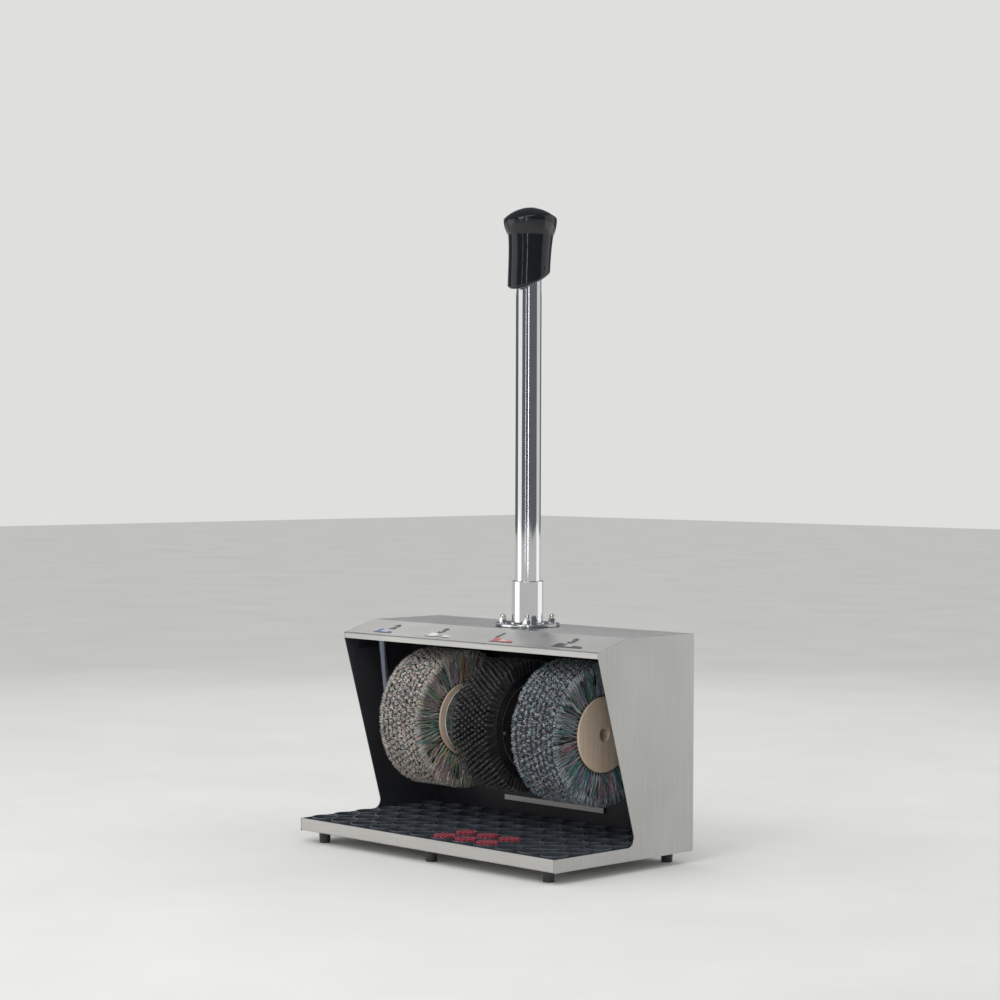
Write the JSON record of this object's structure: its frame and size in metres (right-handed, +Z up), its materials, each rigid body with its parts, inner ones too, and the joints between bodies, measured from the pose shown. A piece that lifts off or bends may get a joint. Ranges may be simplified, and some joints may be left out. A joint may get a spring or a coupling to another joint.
{
  "type": "electric shoe polisher",
  "caption": "Floor-standing electric shoe polisher with a stainless casing, rotating brushes on one motor shaft, a rubber mat and a tall handle with a start button in its grip.",
  "frame": {"origin": "centre of the footprint on the floor", "axes": "+Z up, -Y to the front where the shoe goes, +X right"},
  "size_m": [0.56, 0.3, 1],
  "materials": {
    "brushed_stainless": "brushed stainless sheet, grain along the fold",
    "polished_chrome": "polished",
    "zinc_steel": "zinc plated",
    "turned_steel": "turned",
    "bell_aluminium": "turned and polished",
    "black_paint": "satin black",
    "mat_rubber": "moulded, slightly shiny",
    "foot_rubber": "moulded",
    "plug_red": "stiff red bristles",
    "copper_winding": "enamelled copper wire",
    "core_wood": "turned beech, clear finish",
    "drum_black": "moulded black",
    "bristle_light": "mixed light bristles",
    "bristle_black": "short stiff black tufts",
    "bristle_blue": "mixed blue-grey bristles",
    "grip_black": "high gloss",
    "button_black": "moulded",
    "electric_black": "moulded",
    "lead_sheath": "satin sheath",
    "nozzle_brass": "turned"
  },
  "bodies": {
    "casing": {"hood": "brushed_stainless", "side_panel_left": "brushed_stainless", "side_panel_right": "brushed_stainless", "base_tray": "brushed_stainless", "rear_panel": "brushed_stainless", "rear_panel_screws": "zinc_steel", "inner_liner": "black_paint", "rubber_feet": "foot_rubber", "feet_screws": "zinc_steel", "motor_plate": "black_paint", "motor_plate_bolts": "zinc_steel", "motor_bracket": "zinc_steel", "motor_clamp_band": "zinc_steel", "clamp_bolts": "zinc_steel", "motor_casing": "zinc_steel", "motor_end_bell_left": "bell_aluminium", "motor_end_bell_right": "bell_aluminium", "motor_bearings": "turned_steel", "motor_stator": "turned_steel", "motor_windings": "copper_winding", "motor_lead": "lead_sheath", "motor_lead_gland": "mat_rubber", "control_box": "electric_black", "control_box_lid": "electric_black", "run_capacitor": "bell_aluminium", "capacitor_clip": "zinc_steel", "mains_inlet": "electric_black", "power_switch_body": "electric_black", "casing_mains_lead": "lead_sheath", "handle_gasket": "mat_rubber", "roof_backing_plate": "zinc_steel", "handle_flange": "polished_chrome", "flange_bolts": "zinc_steel", "flange_acorn_nuts": "polished_chrome", "handle_tube": "polished_chrome", "grip": "grip_black", "grip_screw": "zinc_steel", "start_switch": "electric_black", "switch_lead": "lead_sheath", "button_spring": "zinc_steel", "dispenser_bracket": "zinc_steel", "dispenser_tube": "polished_chrome", "nozzle_spring": "zinc_steel"},
    "brush_rotor": {"brush_shaft": "turned_steel", "motor_rotor_core": "turned_steel", "brush_left_core": "core_wood", "brush_left_bristles": "bristle_light", "brush_middle_drum": "drum_black", "brush_middle_bristles": "bristle_black", "drum_screws": "zinc_steel", "brush_right_core": "core_wood", "brush_right_bristles": "bristle_blue", "shaft_spacers": "zinc_steel", "brush_washers": "zinc_steel", "brush_end_screws": "zinc_steel"},
    "mat": {"floor_mat": "mat_rubber", "mat_bristle_plugs": "plug_red"},
    "start_button": {"start_button": "button_black"},
    "dispenser_nozzle": {"dispenser_nozzle": "nozzle_brass"},
    "power_rocker": {"power_rocker": "electric_black"}
  },
  "joints": [
    {"name": "brush_spin", "type": "hinge", "parent": "casing", "child": "brush_rotor", "pos_m": [0, 0.025, 0.1975], "axis": [1, 0, 0], "continuous": true},
    {"name": "start_press", "type": "slide", "parent": "casing", "child": "start_button", "axis": [0, 0, 1], "range_m": [-0.003, 0], "stiffness_N_per_m": 1500, "springref_m": 0.002, "deforming": ["button_spring"]},
    {"name": "nozzle_press", "type": "slide", "parent": "casing", "child": "dispenser_nozzle", "axis": [0, -0.1305, 0.9914], "range_m": [0, 0.008], "stiffness_N_per_m": 400, "springref_m": -0.006, "deforming": ["nozzle_spring"]},
    {"name": "power_rock", "type": "hinge", "parent": "casing", "child": "power_rocker", "pos_m": [0.15, 0.143, 0.305], "axis": [1, 0, 0], "range_deg": [0, 16]},
    {"name": "mat_lift", "type": "slide", "parent": "casing", "child": "mat", "axis": [0, 0, 1], "range_m": [0, 0.016]}
  ]
}
